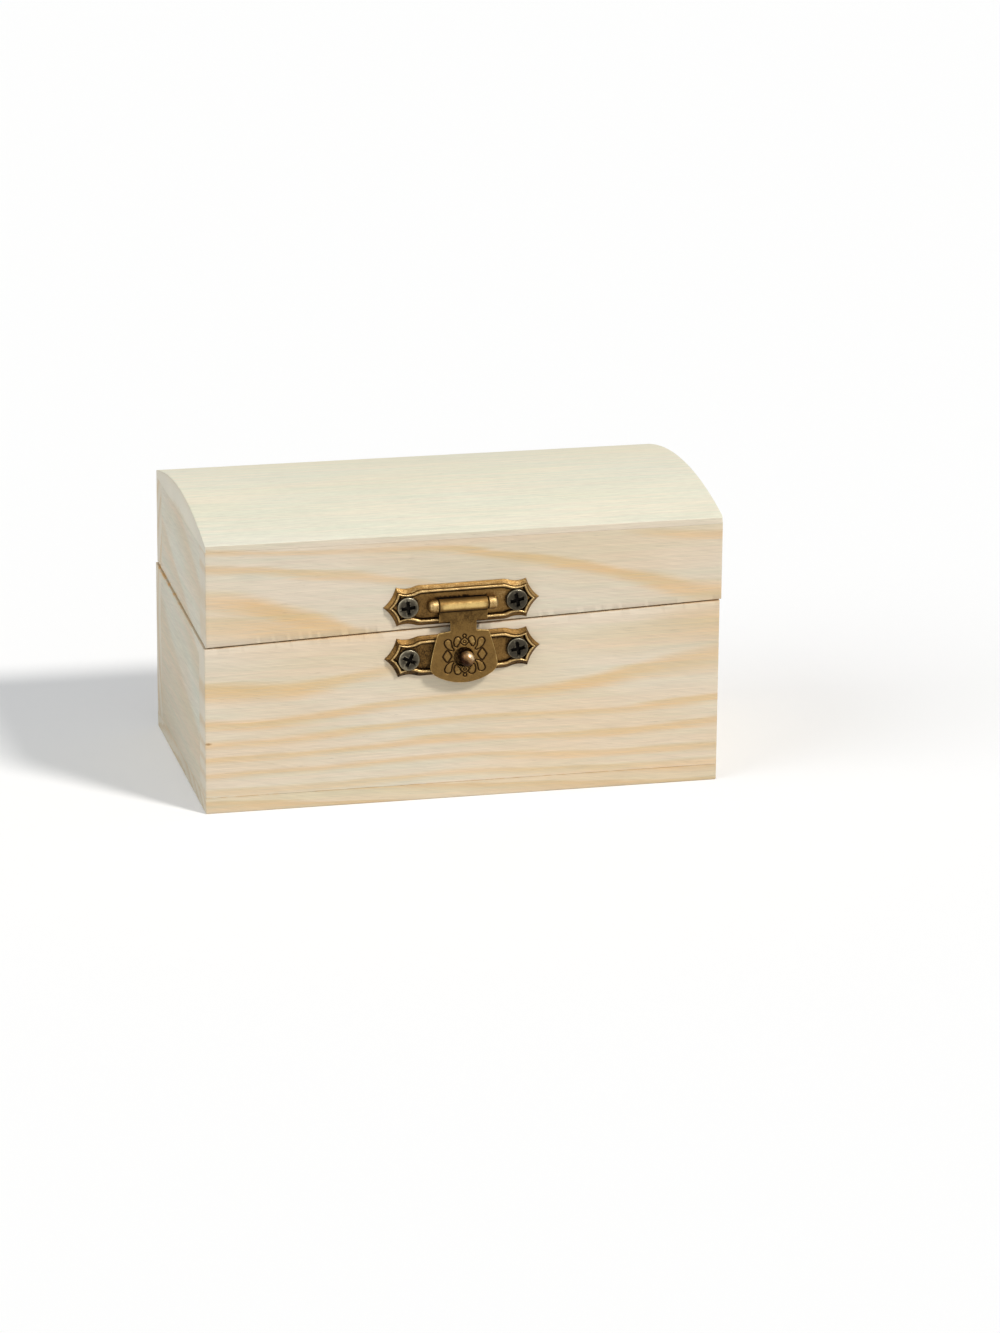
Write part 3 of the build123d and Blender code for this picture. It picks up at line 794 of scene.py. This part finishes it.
def wooden_case():
    """All ten boards, each side in its own pine; the left end's greyer tones are partly a painted cool
    shade.
    """
    pale, peach, soft, joint = (214, 203, 183), (213, 182, 136), outer_ease, joint_ease
    front = pine("pine_front", "x", pale, peach, bands=front_bands)
    back = pine("pine_back", "x", pale, peach, trunk=((-12, 19), (0.05, 0.08), 3.9), depth=0.8)
    # Left end boards: greyer pine, partly its own tone and partly a painted cool shade of that side
    left = pine("pine_left", "y", (207, 203, 187), (206, 186, 158), trunk=((-66, 6), (0.06, -0.4), 12.0),
                depth=0.6)
    right = pine("pine_right", "y", pale, (218, 198, 160), trunk=((100, 12), (0.05, -0.05), 4.4), depth=0.7)
    dome = pine("pine_dome", "x", (225, 223, 206), (225, 214, 184), trunk=((-3, -70), (0.04, 0.0), 6.0),
                depth=0.5, strip=((214, 203, 182), (214, 186, 144)))
    bottom = pine("pine_bottom", "x", (212, 198, 171), (207, 181, 142), trunk=((8, -46), (-0.05, 0.02), 2.6),
                  depth=0.8)
    for side, wood, low, high in (("front", front, (soft, soft), (soft, joint)),
                                  ("back", back, (soft, joint), (soft, soft)),
                                  ("left", left, (joint, joint), (joint, joint)),
                                  ("right", right, (joint, joint), (joint, joint))):
        steps = (board_step, thickness_step) if side in ("front", "back") else (thickness_step, board_step)
        steps += (height_step,)
        board(f"base_{side}_board", "base", wood, low + (joint,), high + (seam_ease,), steps, sawn(-1))
        board(f"lid_{side}_board", "lid", wood, low + (seam_ease,), high + (joint,), steps, sawn(1))
    board("bottom_board", "base", bottom, (soft, soft, soft), (soft, soft, joint), (1.5, 1.5, 0.8))
    board("lid_top_board", "lid", dome, (soft, soft, joint), (soft, soft, soft), (0.8, 0.6, 0.8), domed)


# Plates of the hasp: the pressed profile inside the foot's outline, and the pin's loops
skirt_lip = 0.16
skirt_top_level = 0.80
skirt_groove = 0.14
bead_foot_share = 0.84
bead_inset = 0.52
groove_level = 0.58
panel_inset = 0.82
loop_round = 0.95
# Painted light on the plates: wear added on faces turned right and up, towards the key lamp
plate_light_lean = (0.12, 0, 0.14)


def front_frame(place, tilt):
    """Turn and origin of a frame on the front: X right along a tilted plate, Z out of the wood."""
    c, s = cos(radians(tilt)), sin(radians(tilt))
    return np.array([[c, -s, 0], [0, 0, -1], [s, c, 0]]), np.array([place[0], front_y, place[2]])


def plate_outline(half_length, half_height, shares):
    """Closed outline of a stamped plate, counterclockwise from its right tip."""
    arc_steps, straight_steps = 14, 64
    points = []
    for number, (right, up) in enumerate(((1, 1), (-1, 1), (-1, -1), (1, -1))):
        run = [(right * a * half_length, up * b * half_height) for a, b in shares]
        if number % 2:
            run.reverse()
        for start in (0, 2, 4):
            points += three_point_arc(*run[start:start + 3], arc_steps)
        if number % 2 == 0:
            x, y = run[-1]
            points += [np.array([x - 2 * x * k / straight_steps, y]) for k in range(straight_steps)]
    return np.array(points)


def window_loop():
    """Outline of the plate's window, a rounded rectangle."""
    points = []
    for right, up, start in ((1, 1, 0), (-1, 1, 90), (-1, -1, 180), (1, -1, 270)):
        x, y = right * (window_half_length - window_corner), up * (window_half_height - window_corner)
        for angle in np.linspace(start, start + 90, 6):
            points.append((x + window_corner * cos(radians(angle)), y + window_corner * sin(radians(angle))))
    return even_loop(np.array(points), 0.12)


def stamped_plate(seats, panel_tone, skirt_tone, window=None, tarnish_and_shade=None):
    """Pressed plate: lip, hollow skirt, rounded bead, groove and sunk panel.

    seats are the places of its screws, each with a painted shade round its head. panel_tone is the
    panel's wear at its middle and how much it grows towards its right end, that growth a painted light
    from the right; skirt_tone the wear of the skirt, and tarnish_and_shade the middle of a darker place
    on the panel: tarnish round the knob's foot, and painted shade in the tongue's hole over it.
    """
    foot = plate_outline(plate_half_length, plate_half_height, foot_shares)
    rim = plate_outline(rim_half_length, rim_half_height, rim_shares)

    def inset(amount):
        return plate_outline(rim_half_length - amount, rim_half_height - amount, rim_shares)

    # Rings from the foot inwards: outline, level and wear
    rings = [(foot, 0.0, skirt_tone - 0.1), (foot, 0.6 * skirt_lip, skirt_tone + 0.1),
             (foot + 0.04 * (rim - foot), skirt_lip, skirt_tone + 0.15)]
    for share in np.linspace(0.1, bead_foot_share - 0.06, 8):
        rise = (share / bead_foot_share) ** 1.35
        rings.append((foot + share * (rim - foot), skirt_lip + rise * (skirt_top_level - skirt_lip),
                      skirt_tone + 0.15 * share))
    outer, inner, panel = foot + bead_foot_share * (rim - foot), inset(bead_inset), inset(panel_inset)
    start, end = skirt_top_level - skirt_groove, groove_level + 0.04
    rings.append((outer, start, 0.0))
    for angle in np.linspace(0.12, pi - 0.12, 11):
        share = (1 - cos(angle)) / 2
        level = start + share * (end - start) + (plate_rise - (start + end) / 2) * sin(angle)
        rings.append((outer + share * (inner - outer), level, 0.05 + 0.8 * sin(angle) ** 2))
    rings += [(inset(bead_inset + 0.06), groove_level, 0.0),
              (inset(bead_inset + 0.16), groove_level + 0.02, 0.12),
              (panel, panel_level, panel_tone[0] - 0.1)]
    points, faces, wear_and_light = stacked(rings)
    # Under each screw head the rings sink to the panel and are painted dark: painted shade round the head
    for seat in seats:
        close = far_from(points, seat) < screw_head_radius + 0.07
        points[close, 2] = np.minimum(points[close, 2], panel_level)
        wear_and_light[close] = 0.1
    shape = Shape(points, faces, wear_and_light)

    holes = [] if window is None else [window]
    flat, faces = patch(panel, holes, [(0.45, everywhere)])
    # Panel lighter towards its right end: painted light from the right
    wear_and_light = panel_tone[0] + panel_tone[1] * flat[:, 0] / plate_half_length * 2
    # Painted shade in a ring round each screw head
    for seat in seats:
        wear_and_light = np.minimum(wear_and_light, 0.1 + 0.5 * np.clip((far_from(flat, seat) - screw_head_radius) / 0.5, 0, 1))
    # Darker place round the knob: tarnish at its foot, and painted shade seen through the tongue's hole
    if tarnish_and_shade is not None:
        wear_and_light -= 0.34 * np.exp(-(far_from(flat, tarnish_and_shade) / 2.0) ** 2)
    wear_and_light[nearest(flat, [panel]) < 0.1] = panel_tone[0] - 0.1
    shape.add(raised(flat, panel_level), faces, wear_and_light)
    under, faces = patch(foot, holes, [(1.5, everywhere)])
    shape.add(raised(under, 0.0), faces, 0.2)
    for hole in holes:
        shape.add(*stacked([(hole, panel_level, 0.1), (hole, 0.0, 0.1)]))
    return shape


def pin_loop(shape, side):
    """Rounded loop pressed out of the plate round one end of the pin."""
    start, end = window_half_length, window_half_length + loop_length
    round_from = end - loop_round
    stations = [*np.linspace(start, start + 0.1, 3), *np.linspace(start + 0.2, round_from, 4),
                *(end - (end - round_from) * (1 - np.sin(np.linspace(0, pi / 2, 9)[1:])))]
    angles = turns(40)
    points, wear_and_light = [], []
    for x in stations:
        bulge = max(0.0, (x - round_from) / (end - round_from))
        size = max(0.02, (1 - bulge ** 2.6) ** (1 / 2.6))
        size *= 1 - 0.07 * max(0.0, 1 - (x - start) / 0.1)
        radius = curl_radius * size
        level = panel_level + (pin_level - panel_level) * size
        points += [(side * x, radius * cos(a), level + radius * sin(a)) for a in angles]
        wear_and_light += [0.3 + 0.45 * max(0.0, sin(a)) if x > start else 0.2 for a in angles]
    last = len(points) - len(angles)
    caps = [range(len(angles)), range(last, len(points))]
    shape.add(points, grid_faces(len(stations), len(angles)) + caps, wear_and_light)


# Ring of scrolls round the tongue's hole, about its own middle: spine points and radii of the
# drops in one quarter, the places of the four flowers with their sizes outwards and across for
# those above and below and those at the sides, and the buds
ring_middle = (0.15, 0.3)
ring_radius = 4.85
quarter_drops = [
    [(3.08, 2.50, 0.66), (2.92, 2.00, 0.58), (2.60, 1.48, 0.38), (2.15, 1.15, 0.2)],
    [(1.28, 2.92, 0.62), (1.46, 2.48, 0.55), (1.54, 2.08, 0.36), (1.45, 1.80, 0.18)],
]
flowers = [(0, 2.58), (0, -2.58), (3.2, 0), (-3.2, 0)]
flower_radial = (0.74, 0.82)
flower_across = (0.86, 1.15)
flower_heart = 0.25
bud_place = 3.66
bud_radius = 0.3
groove_width = 0.12
groove_depth = 0.15
petal_rise = 0.045


def drop_distance(x, y, spine):
    """Signed distance to a drop along a spine of points with radii."""
    parts = []
    for (ax, ay, ar), (bx, by, br) in zip(spine, spine[1:]):
        dx, dy = bx - ax, by - ay
        t = np.clip(((x - ax) * dx + (y - ay) * dy) / (dx * dx + dy * dy), 0, 1)
        parts.append(np.hypot(x - ax - t * dx, y - ay - t * dy) - (ar + t * (br - ar)))
    return np.min(parts, axis=0)


def flower_distance(x, y, cx, cy):
    """Signed distance, near enough, to a lozenge with rounded sides."""
    side = int(cx != 0)
    out, across = (np.abs(x - cx), np.abs(y - cy)) if side else (np.abs(y - cy), np.abs(x - cx))
    lozenge = (out / flower_radial[side]) ** 1.2 + (across / flower_across[side]) ** 1.2
    return (lozenge ** (1 / 1.2) - 1) * 0.62


def scroll_relief(x, y):
    """Height and wear that the stamped ornament adds to the tongue's face."""
    x, y = x - ring_middle[0], y - ring_middle[1]
    shapes = [drop_distance(x, y, [(right * a, up * b, r) for a, b, r in drop])
              for right, up, drop in product((1, -1), (1, -1), quarter_drops)]
    shapes += [flower_distance(x, y, *flower) for flower in flowers]
    for up in (1, -1):
        shapes.append(np.hypot(x, y - up * bud_place) - bud_radius)
        shapes.append(np.hypot(x, y - up * flowers[0][1]) - flower_heart)
    grooves = np.max([np.exp(-(distance / groove_width) ** 2) for distance in shapes], axis=0)
    petals = np.max([np.clip(-distance / 0.3, 0, 1) for distance in shapes], axis=0)
    return petals * petal_rise - grooves * groove_depth, 0.1 * petals - 0.62 * grooves


# Tongue: a bent sheet, and its outline in drops below the pin and half widths
tongue_level = 1.25
tongue_edge = 0.15
crease_radius = 0.25
curl_turn = radians(268)
shoulder_drop = 3.05
neck_drop = 4.85
neck_half_width = 2.4
fan_top_drop = 5.10
fan_top_half_width = 4.65
fan_half_width = 6.35
fan_side_drop = 12.2
fan_drop = 14.65
fan_side_bulge = 0.2
hole_drop = 9.85
hole_radius = 1.85

# Section of the sheet, along its middle line: flat blade, crease over the rim, curl round the pin
sheet_level = tongue_level + sheet / 2
curl_middle = curl_radius - sheet / 2
bend = crease_radius + sheet / 2
bend_level = sheet_level + bend
bend_y = -sqrt((curl_middle + bend) ** 2 - (bend_level - pin_level) ** 2)
curl_start = atan2(bend_level - pin_level, bend_y)
crease_length = bend * (pi / 2 - (pi - curl_start))
sheet_end = bend_y + crease_length + curl_middle * curl_turn


def bent(s, height):
    """Place of the sheet's point at length s along its section and at a height off its middle."""
    in_crease = (s - bend_y) / bend - pi / 2
    in_curl = curl_start - (s - bend_y - crease_length) / curl_middle
    flat = s <= bend_y
    curl = s > bend_y + crease_length
    y = np.where(flat, s, bend_y + (bend - height) * np.cos(in_crease))
    level = np.where(flat, sheet_level + height, bend_level + (bend - height) * np.sin(in_crease))
    y = np.where(curl, (curl_middle + height) * np.cos(in_curl), y)
    level = np.where(curl, pin_level + (curl_middle + height) * np.sin(in_curl), level)
    return y, level


def bent_points(flat, height):
    """Points of the flat sheet at a height off its middle, bent with it."""
    return np.column_stack([flat[:, 0], *bent(flat[:, 1], height)])


def tongue_outline():
    """Outline of the flat sheet before bending, counterclockwise."""
    corner, top = (fan_half_width, -fan_side_drop), (fan_top_half_width, -fan_top_drop)
    bulge = ((top[0] + corner[0]) / 2 + fan_side_bulge, (top[1] + corner[1]) / 2)
    foot = three_point_arc((-corner[0], corner[1]), (0, -fan_drop), corner, 120)
    right = three_point_arc(corner, bulge, top, 70)
    rest = [top, (neck_half_width, -neck_drop), (neck_half_width, -shoulder_drop),
            (curl_half_length, -shoulder_drop), (curl_half_length, sheet_end)]
    rest += [(-x, y) for x, y in reversed(rest)]
    left = [(-x, y) for x, y in right[:0:-1]]
    loop = even_loop(np.array([*foot, *right, *rest, *left]), 0.11)
    for side in (1, -1):
        loop = eased_corner(loop, (side * corner[0], corner[1]), 1.3)
        loop = eased_corner(loop, (side * top[0], top[1]), 0.3)
    return loop


def tongue_shape():
    """Tongue: outline filled with a fine mesh, face with its ornament, back and rims."""
    outline = tongue_outline()
    hole = circle(hole_radius, 120) - (0, hole_drop)

    def ornament(spots):
        return far_from(spots, (ring_middle[0], ring_middle[1] - hole_drop)) < ring_radius

    def curl(spots):
        return spots[:, 1] > -2.0

    def elsewhere(spots):
        return ~ornament(spots) & ~curl(spots)

    zones = [(0.07, ornament), (0.16, curl), (0.3, elsewhere)]
    flat, faces = patch(outline, [hole], zones, rows=(0.03, 0.08, 0.14))
    edge = np.clip(tongue_edge - nearest(flat, [outline, hole]), 0, tongue_edge)
    drop = tongue_edge - np.sqrt(tongue_edge ** 2 - edge ** 2)
    relief, ring_wear = np.where(ornament(flat), scroll_relief(flat[:, 0], flat[:, 1] + hole_drop), 0)

    # Wear and painted light of the blade: edges lighter, partly worn and partly a painted highlight;
    # the neck and shoulders darker, a painted shade under the curl; a painted highlight along the curl,
    # fading towards its ends; and a painted shade in the crease
    wear_and_light = 0.45 + ring_wear + 0.6 * edge / tongue_edge
    wear_and_light -= 0.1 * np.clip((flat[:, 1] + 6.5) / 2.0, 0, 1)
    wear_and_light = np.where(flat[:, 1] > -3.7, 0.3 + 0.5 * edge / tongue_edge, wear_and_light)
    along_curl = (flat[:, 1] - bend_y - crease_length) / curl_middle
    curl_highlight = 0.2 + 0.70 * np.exp(-((along_curl - radians(66)) / radians(36)) ** 2)
    from_end = np.clip((curl_half_length - np.abs(flat[:, 0])) / 0.9, 0, 1)
    wear_and_light = np.where(along_curl > 0, 0.3 + (curl_highlight - 0.3) * (0.45 + 0.55 * from_end), wear_and_light)
    wear_and_light = np.where(np.abs(along_curl + 0.15) < 0.3, 0.1, wear_and_light)
    wear_and_light = np.where((along_curl > -0.9) & (along_curl < -0.45), 0.3, wear_and_light)

    shape = Shape(bent_points(flat, sheet / 2 - drop + relief), faces, wear_and_light)
    shape.add(bent_points(flat, drop - sheet / 2), faces[:, ::-1], 0.3)
    for loop in (outline, hole):
        heights = (sheet / 2 - tongue_edge, 0, tongue_edge - sheet / 2)
        rows = [bent_points(loop, height) for height in heights]
        shape.add(np.concatenate(rows), grid_faces(3, len(loop)), 0.6)
    return shape


def cross_screw(shape, spot, level, turn, sizes, lighter_by=0.0):
    """Cross-recessed wood screw standing on a level, with its thread; its last argument, added to its wear,
    lightens or darkens it.
    """
    radius, height, shank_radius, length = sizes
    reach, half, crown = recess_reach * radius, recess_half_width * radius, head_side[0][0] * radius
    floor_level = height - recess_depth * height

    # Head: crown with the mouth of the recess, walls and pitted floor of the recess, side
    mouth = even_loop(np.array([(px * c - py * s, px * s + py * c)
                                for c, s in ((1, 0), (0, 1), (-1, 0), (0, -1))
                                for px, py in ((reach, -half), (reach, half), (half, half))]), 0.12 * radius)
    floor = recess_floor * mouth

    def crown_level(points):
        return height * (0.84 + 0.16 * (1 - (far_from(points, (0, 0)) / crown) ** 2))

    flat, faces = patch(circle(crown, head_steps), [mouth], [(0.14 * radius, everywhere)])
    edge = nearest(flat, [mouth]) < 0.04 * radius
    wear_and_light = np.where(edge, 0.75, 0.38 + 0.3 * (far_from(flat, (0, 0)) / crown) ** 3)
    screw = Shape(raised(flat, crown_level(flat)), faces, wear_and_light)
    screw.add(*stacked([(mouth, crown_level(mouth), 0.3), (floor, floor_level, 0.0)]))
    flat, faces = patch(floor, (), [(0.2 * radius, everywhere)])
    pit = np.clip(1 - far_from(flat, (0, 0)) / (0.5 * reach), 0, 1)
    screw.add(raised(flat, floor_level - recess_pit * height * pit), faces, 0.0)
    screw.add(*stacked([(circle(out * radius, head_steps), up * height, wear_and_light)
                        for out, up, wear_and_light in head_side]))

    # Thread, tapered towards its point
    thread = []
    pitch, root = thread_pitch * shank_radius, thread_root * shank_radius
    rows = int(8 * length / pitch)
    for row in range(rows + 1):
        depth = -length * row / rows
        taper = 1 - max(0.0, (-depth / length - 0.78) / 0.22) * 0.9
        for angle in turns(thread_steps):
            phase = (depth / pitch - angle / (2 * pi)) % 1.0
            crest = max(0.0, 1 - abs(phase - 0.5) / 0.28)
            r = (root + (shank_radius - root) * crest) * taper
            thread.append((r * cos(angle), r * sin(angle), depth))
    point = range(rows * thread_steps, len(thread))
    screw.add(thread, grid_faces(rows + 1, thread_steps) + [point], 0.4)

    # Underside, from the rim of the head to the neck of the thread
    rim = raised(circle(head_side[-1][0] * radius, head_steps), 0.0)
    faces = []
    for k in range(head_steps):
        near, after = (j * thread_steps // head_steps % thread_steps for j in (k, k + 1))
        face = [k, (k + 1) % head_steps, head_steps + after, head_steps + near]
        faces.append(face if near != after else face[:3])
    screw.add([*rim, *thread[:thread_steps]], faces, 0.2)

    c, s = cos(radians(turn)), sin(radians(turn))
    x, y, z = np.array(screw.points).T
    moved = np.column_stack([spot[0] + x * c - y * s, spot[1] + x * s + y * c, level + z])
    shape.add(moved, screw.faces, np.array(screw.wear_and_light) + lighter_by)


def knob_shape():
    """Ball-headed knob on its stem, with the riveted tail in the hollow of the plate."""
    start = asin(knob_stem / knob_ball)
    profile = [(0.0, 0.1), (0.98, 0.1), (1.0, 0.13), (1.0, 0.22), (0.97, 0.25), (knob_stem, 0.25),
               (knob_stem, knob_level - knob_ball * 1.02),
               (knob_stem + 0.02, knob_level - knob_ball * cos(start))]
    profile += [(knob_ball * sin(a), knob_level - knob_ball * cos(a))
                for a in np.linspace(start + 0.05, pi, 30)]
    return Shape(*stacked([(circle(radius, 64), level, 0.34) for radius, level in profile]))


def latch():
    """Both plates, the tongue, the knob and the four screws of the hasp; gives the screws' material."""
    knob = middle_of("catch_knob")
    hasp = front_frame(middle_of("hasp_pin"), hasp_tilt)
    catch = front_frame(middle_of("catch_plate"), catch_tilt)
    antique = brass("antique_brass", (32, 20, 12), (124, 94, 52), (208, 178, 124), grain=0.8, mottle=0.9)
    dull = brass("tongue_brass", (52, 36, 18), (124, 96, 54), (220, 188, 122), rough=0.42, grain=0.35)
    polished = brass("bright_brass", (46, 28, 18), (132, 100, 66), (244, 222, 182), grain=0.1, patina=0.2)
    steel = nickel("dark_nickel")

    plate = stamped_plate(hasp_seats, (0.46, 0.07), 0.42, window=window_loop())
    for side in (-1, 1):
        pin_loop(plate, side)
    add_piece("hasp_plate", plate.moved(*hasp), "lid", antique, lean=plate_light_lean)
    behind_knob = ((knob - catch[1]) @ catch[0])[:2]
    plate = stamped_plate(catch_seats, (0.35, 0.09), 0.26, tarnish_and_shade=behind_knob)
    add_piece("catch_plate", plate.moved(*catch), "base", antique, lean=plate_light_lean)
    tongue = tongue_shape().moved(*hasp)
    # Painted light on the tongue: lighter on faces turned up and to the right
    add_piece("hasp_tongue", tongue, "hasp", dull, sharp=60.0, lean=(0.1, 0, 0.15))
    ball = knob_shape().moved(*front_frame(knob, catch_tilt))
    # Painted highlight on the knob's upper right and painted shade on its lower left
    add_piece("catch_knob", ball, "base", polished, lean=(0.5, 0, 0.46))

    for name, body, place, seats, angles in (("hasp_plate_screws", "lid", hasp, hasp_seats, (4, 12)),
                                             ("catch_plate_screws", "base", catch, catch_seats, (-28, 8))):
        shape = Shape()
        # The left screw of each plate lighter, the right one darker
        for seat, angle, lighter_by in zip(seats, angles, (0.04, -0.14)):
            cross_screw(shape, seat, panel_level, angle, hasp_screw, lighter_by)
        add_piece(name, shape.moved(*place), body, steel)
    dress_node("hasp_pin", brass("pin_brass", (34, 20, 12), (132, 98, 48), (216, 182, 118), even=0.5))
    return steel


# Hinges: lean of their pins with the saw cut, places of their screws, eased edges of the leaves
hinge_lean = atan2(seam_slope_right, 1)
hinge_screw_x = 4.2
hinge_screw_drop = 4.3
hinge_face_level = -0.65
hinge_edge = 0.07
hinge_turns = {"base": (14, 61, 35, 80), "lid": (-20, 40, 5, 68)}


def hinge_frame(side):
    """Turn and origin of a hinge's frame: X left along its pin, Z out of the back."""
    c, s = cos(hinge_lean), sin(hinge_lean)
    return np.array([[-c, -s, 0], [0, 0, 1], [-s, c, 0]]), middle_of(f"{side}_hinge_pin")


def dress_node(name, material):
    """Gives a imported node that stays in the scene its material."""
    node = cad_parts[name]
    node.data.materials.clear()
    node.data.materials.append(material)
    return node


def hinges(steel):
    """Finish of the hinge leaves and pins, and their eight small screws."""
    yellow = brass("hinge_brass", (84, 62, 30), (168, 134, 74), (226, 192, 122), rough=0.34, grain=0.25,
                   mottle=0.35, even=0.6)
    for side, part in product(("left", "right"), ("base_leaf", "lid_leaf", "pin")):
        bevel = dress_node(f"{side}_hinge_{part}", yellow).modifiers.new("eased", "BEVEL")
        bevel.width = hinge_edge * MM
        bevel.segments = 2
        bevel.limit_method = "ANGLE"
        bevel.angle_limit = radians(35)
        bevel.harden_normals = True
    spots = list(product(("left", "right"), (-hinge_screw_x, hinge_screw_x)))
    for body, up in (("base", -1), ("lid", 1)):
        shape = Shape()
        for (side, x), angle in zip(spots, hinge_turns[body]):
            screw = Shape()
            cross_screw(screw, (x, up * hinge_screw_drop), hinge_face_level, angle, hinge_screw)
            screw.moved(*hinge_frame(side))
            shape.add(screw.points, screw.faces, screw.wear_and_light)
        add_piece(f"{body}_hinge_screws", shape, body, steel)


# Studio

def studio():
    """Floor, soft lamps, white surroundings and the photograph's camera."""
    bpy.ops.mesh.primitive_plane_add(size=floor_size * MM)
    floor = bpy.context.object
    floor.name = "floor"
    paper = bpy.data.materials.new("floor_paper")
    nodes = Nodes(paper)
    matte = nodes.put("BsdfDiffuse", {"Color": floor_colour})
    lift = nodes.put("Emission", {"Color": white, "Strength": nodes.seen_rays() * floor_lift})
    both = nodes.put("AddShader", {0: matte.outputs[0], 1: lift.outputs[0]})
    nodes.put("OutputMaterial", {"Surface": both.outputs[0]})
    floor.data.materials.append(paper)

    bpy.context.scene.world = bpy.data.worlds.new("surroundings")
    nodes = Nodes(bpy.context.scene.world)
    sky = nodes.put("Background", {"Color": sky_colour, "Strength": sky_strength})
    backdrop = nodes.put("Background", {"Color": white, "Strength": 1.0})
    both = nodes.put("MixShader", {0: nodes.seen_rays(), 1: sky.outputs[0], 2: backdrop.outputs[0]})
    nodes.put("OutputWorld", {"Surface": both.outputs[0]})

    for name, source, strength, softness, colour in lamps:
        lamp = bpy.data.lights.new(name, "SUN")
        lamp.energy = strength
        lamp.angle = radians(softness)
        lamp.color = colour
        hung(name, lamp).rotation_euler = Vector(source).to_track_quat("Z", "Y").to_euler()

    camera = bpy.data.cameras.new("camera")
    camera.sensor_fit = "VERTICAL"
    camera.sensor_height = camera.sensor_width = camera_sensor
    camera.lens = camera_lens
    camera.clip_start = camera_nearest * MM
    forward, up = Vector(camera_forward).normalized(), Vector(camera_up)
    right = forward.cross(up).normalized()
    turn = Matrix((right, right.cross(forward), -forward)).transposed().to_4x4()
    holder = hung("camera", camera)
    holder.matrix_world = Matrix.Translation(Vector(camera_place) * MM) @ turn
    bpy.context.scene.camera = holder
    bpy.context.scene.view_settings.view_transform = "Standard"


wooden_case()
hinges(latch())
studio()
